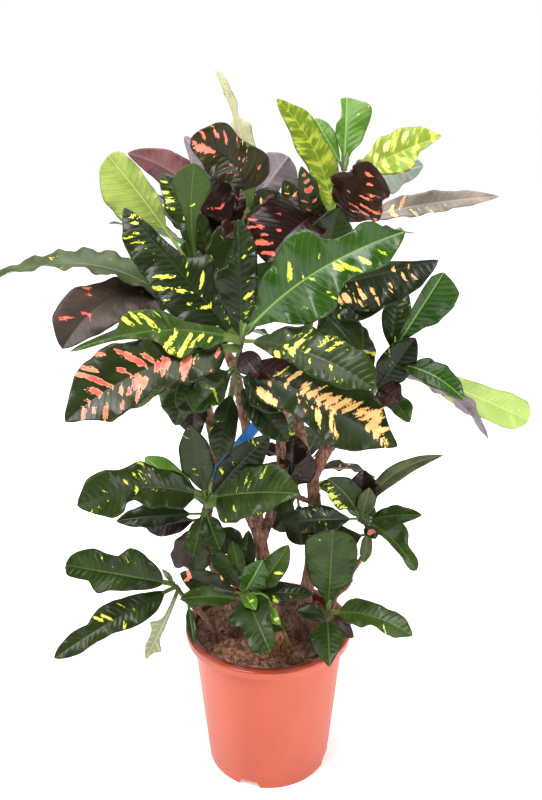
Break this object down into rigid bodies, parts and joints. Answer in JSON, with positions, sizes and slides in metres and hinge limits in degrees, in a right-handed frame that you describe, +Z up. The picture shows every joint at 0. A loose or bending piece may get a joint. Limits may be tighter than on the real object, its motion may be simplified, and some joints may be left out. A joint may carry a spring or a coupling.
{
  "type": "potted croton plant",
  "caption": "Bushy croton with large waved, spotted leaves on woody stems, planted in a tapered terracotta-coloured nursery pot.",
  "frame": {"origin": "centre of the pot's flat base, on the surface that the pot stands on", "axes": "+Z straight up; -Y towards the side that the picture shows; +X to that view's right"},
  "size_m": [0.8092, 0.5017, 1.0825],
  "materials": {
    "pot": "satin moulded polypropylene, terracotta orange",
    "soil": "dark crumbly potting compost with bark chips",
    "bark": "grey-brown bark with leaf scars",
    "leaf": "glossy leathery leaves, green to maroon, with yellow, coral and cream patches",
    "label": "blank thin blue plastic"
  },
  "bodies": {
    "root": {"pot": "pot", "soil": "soil", "label": "label", "stem_front": "bark", "stem_right": "bark", "stem_left": "bark", "stem_back": "bark", "stem_thin": "bark", "stem_low_left": "bark", "stem_low_front": "bark", "stem_low_right": "bark", "crown_front": "leaf", "crown_left": "leaf", "crown_right": "leaf", "crown_edge": "leaf", "left_middle": "leaf", "left_low": "leaf", "front_low": "leaf", "right_low": "leaf", "right_inner": "leaf", "right_middle": "leaf", "back_left": "leaf", "back_right": "leaf", "back_low": "leaf"}
  },
  "joints": []
}
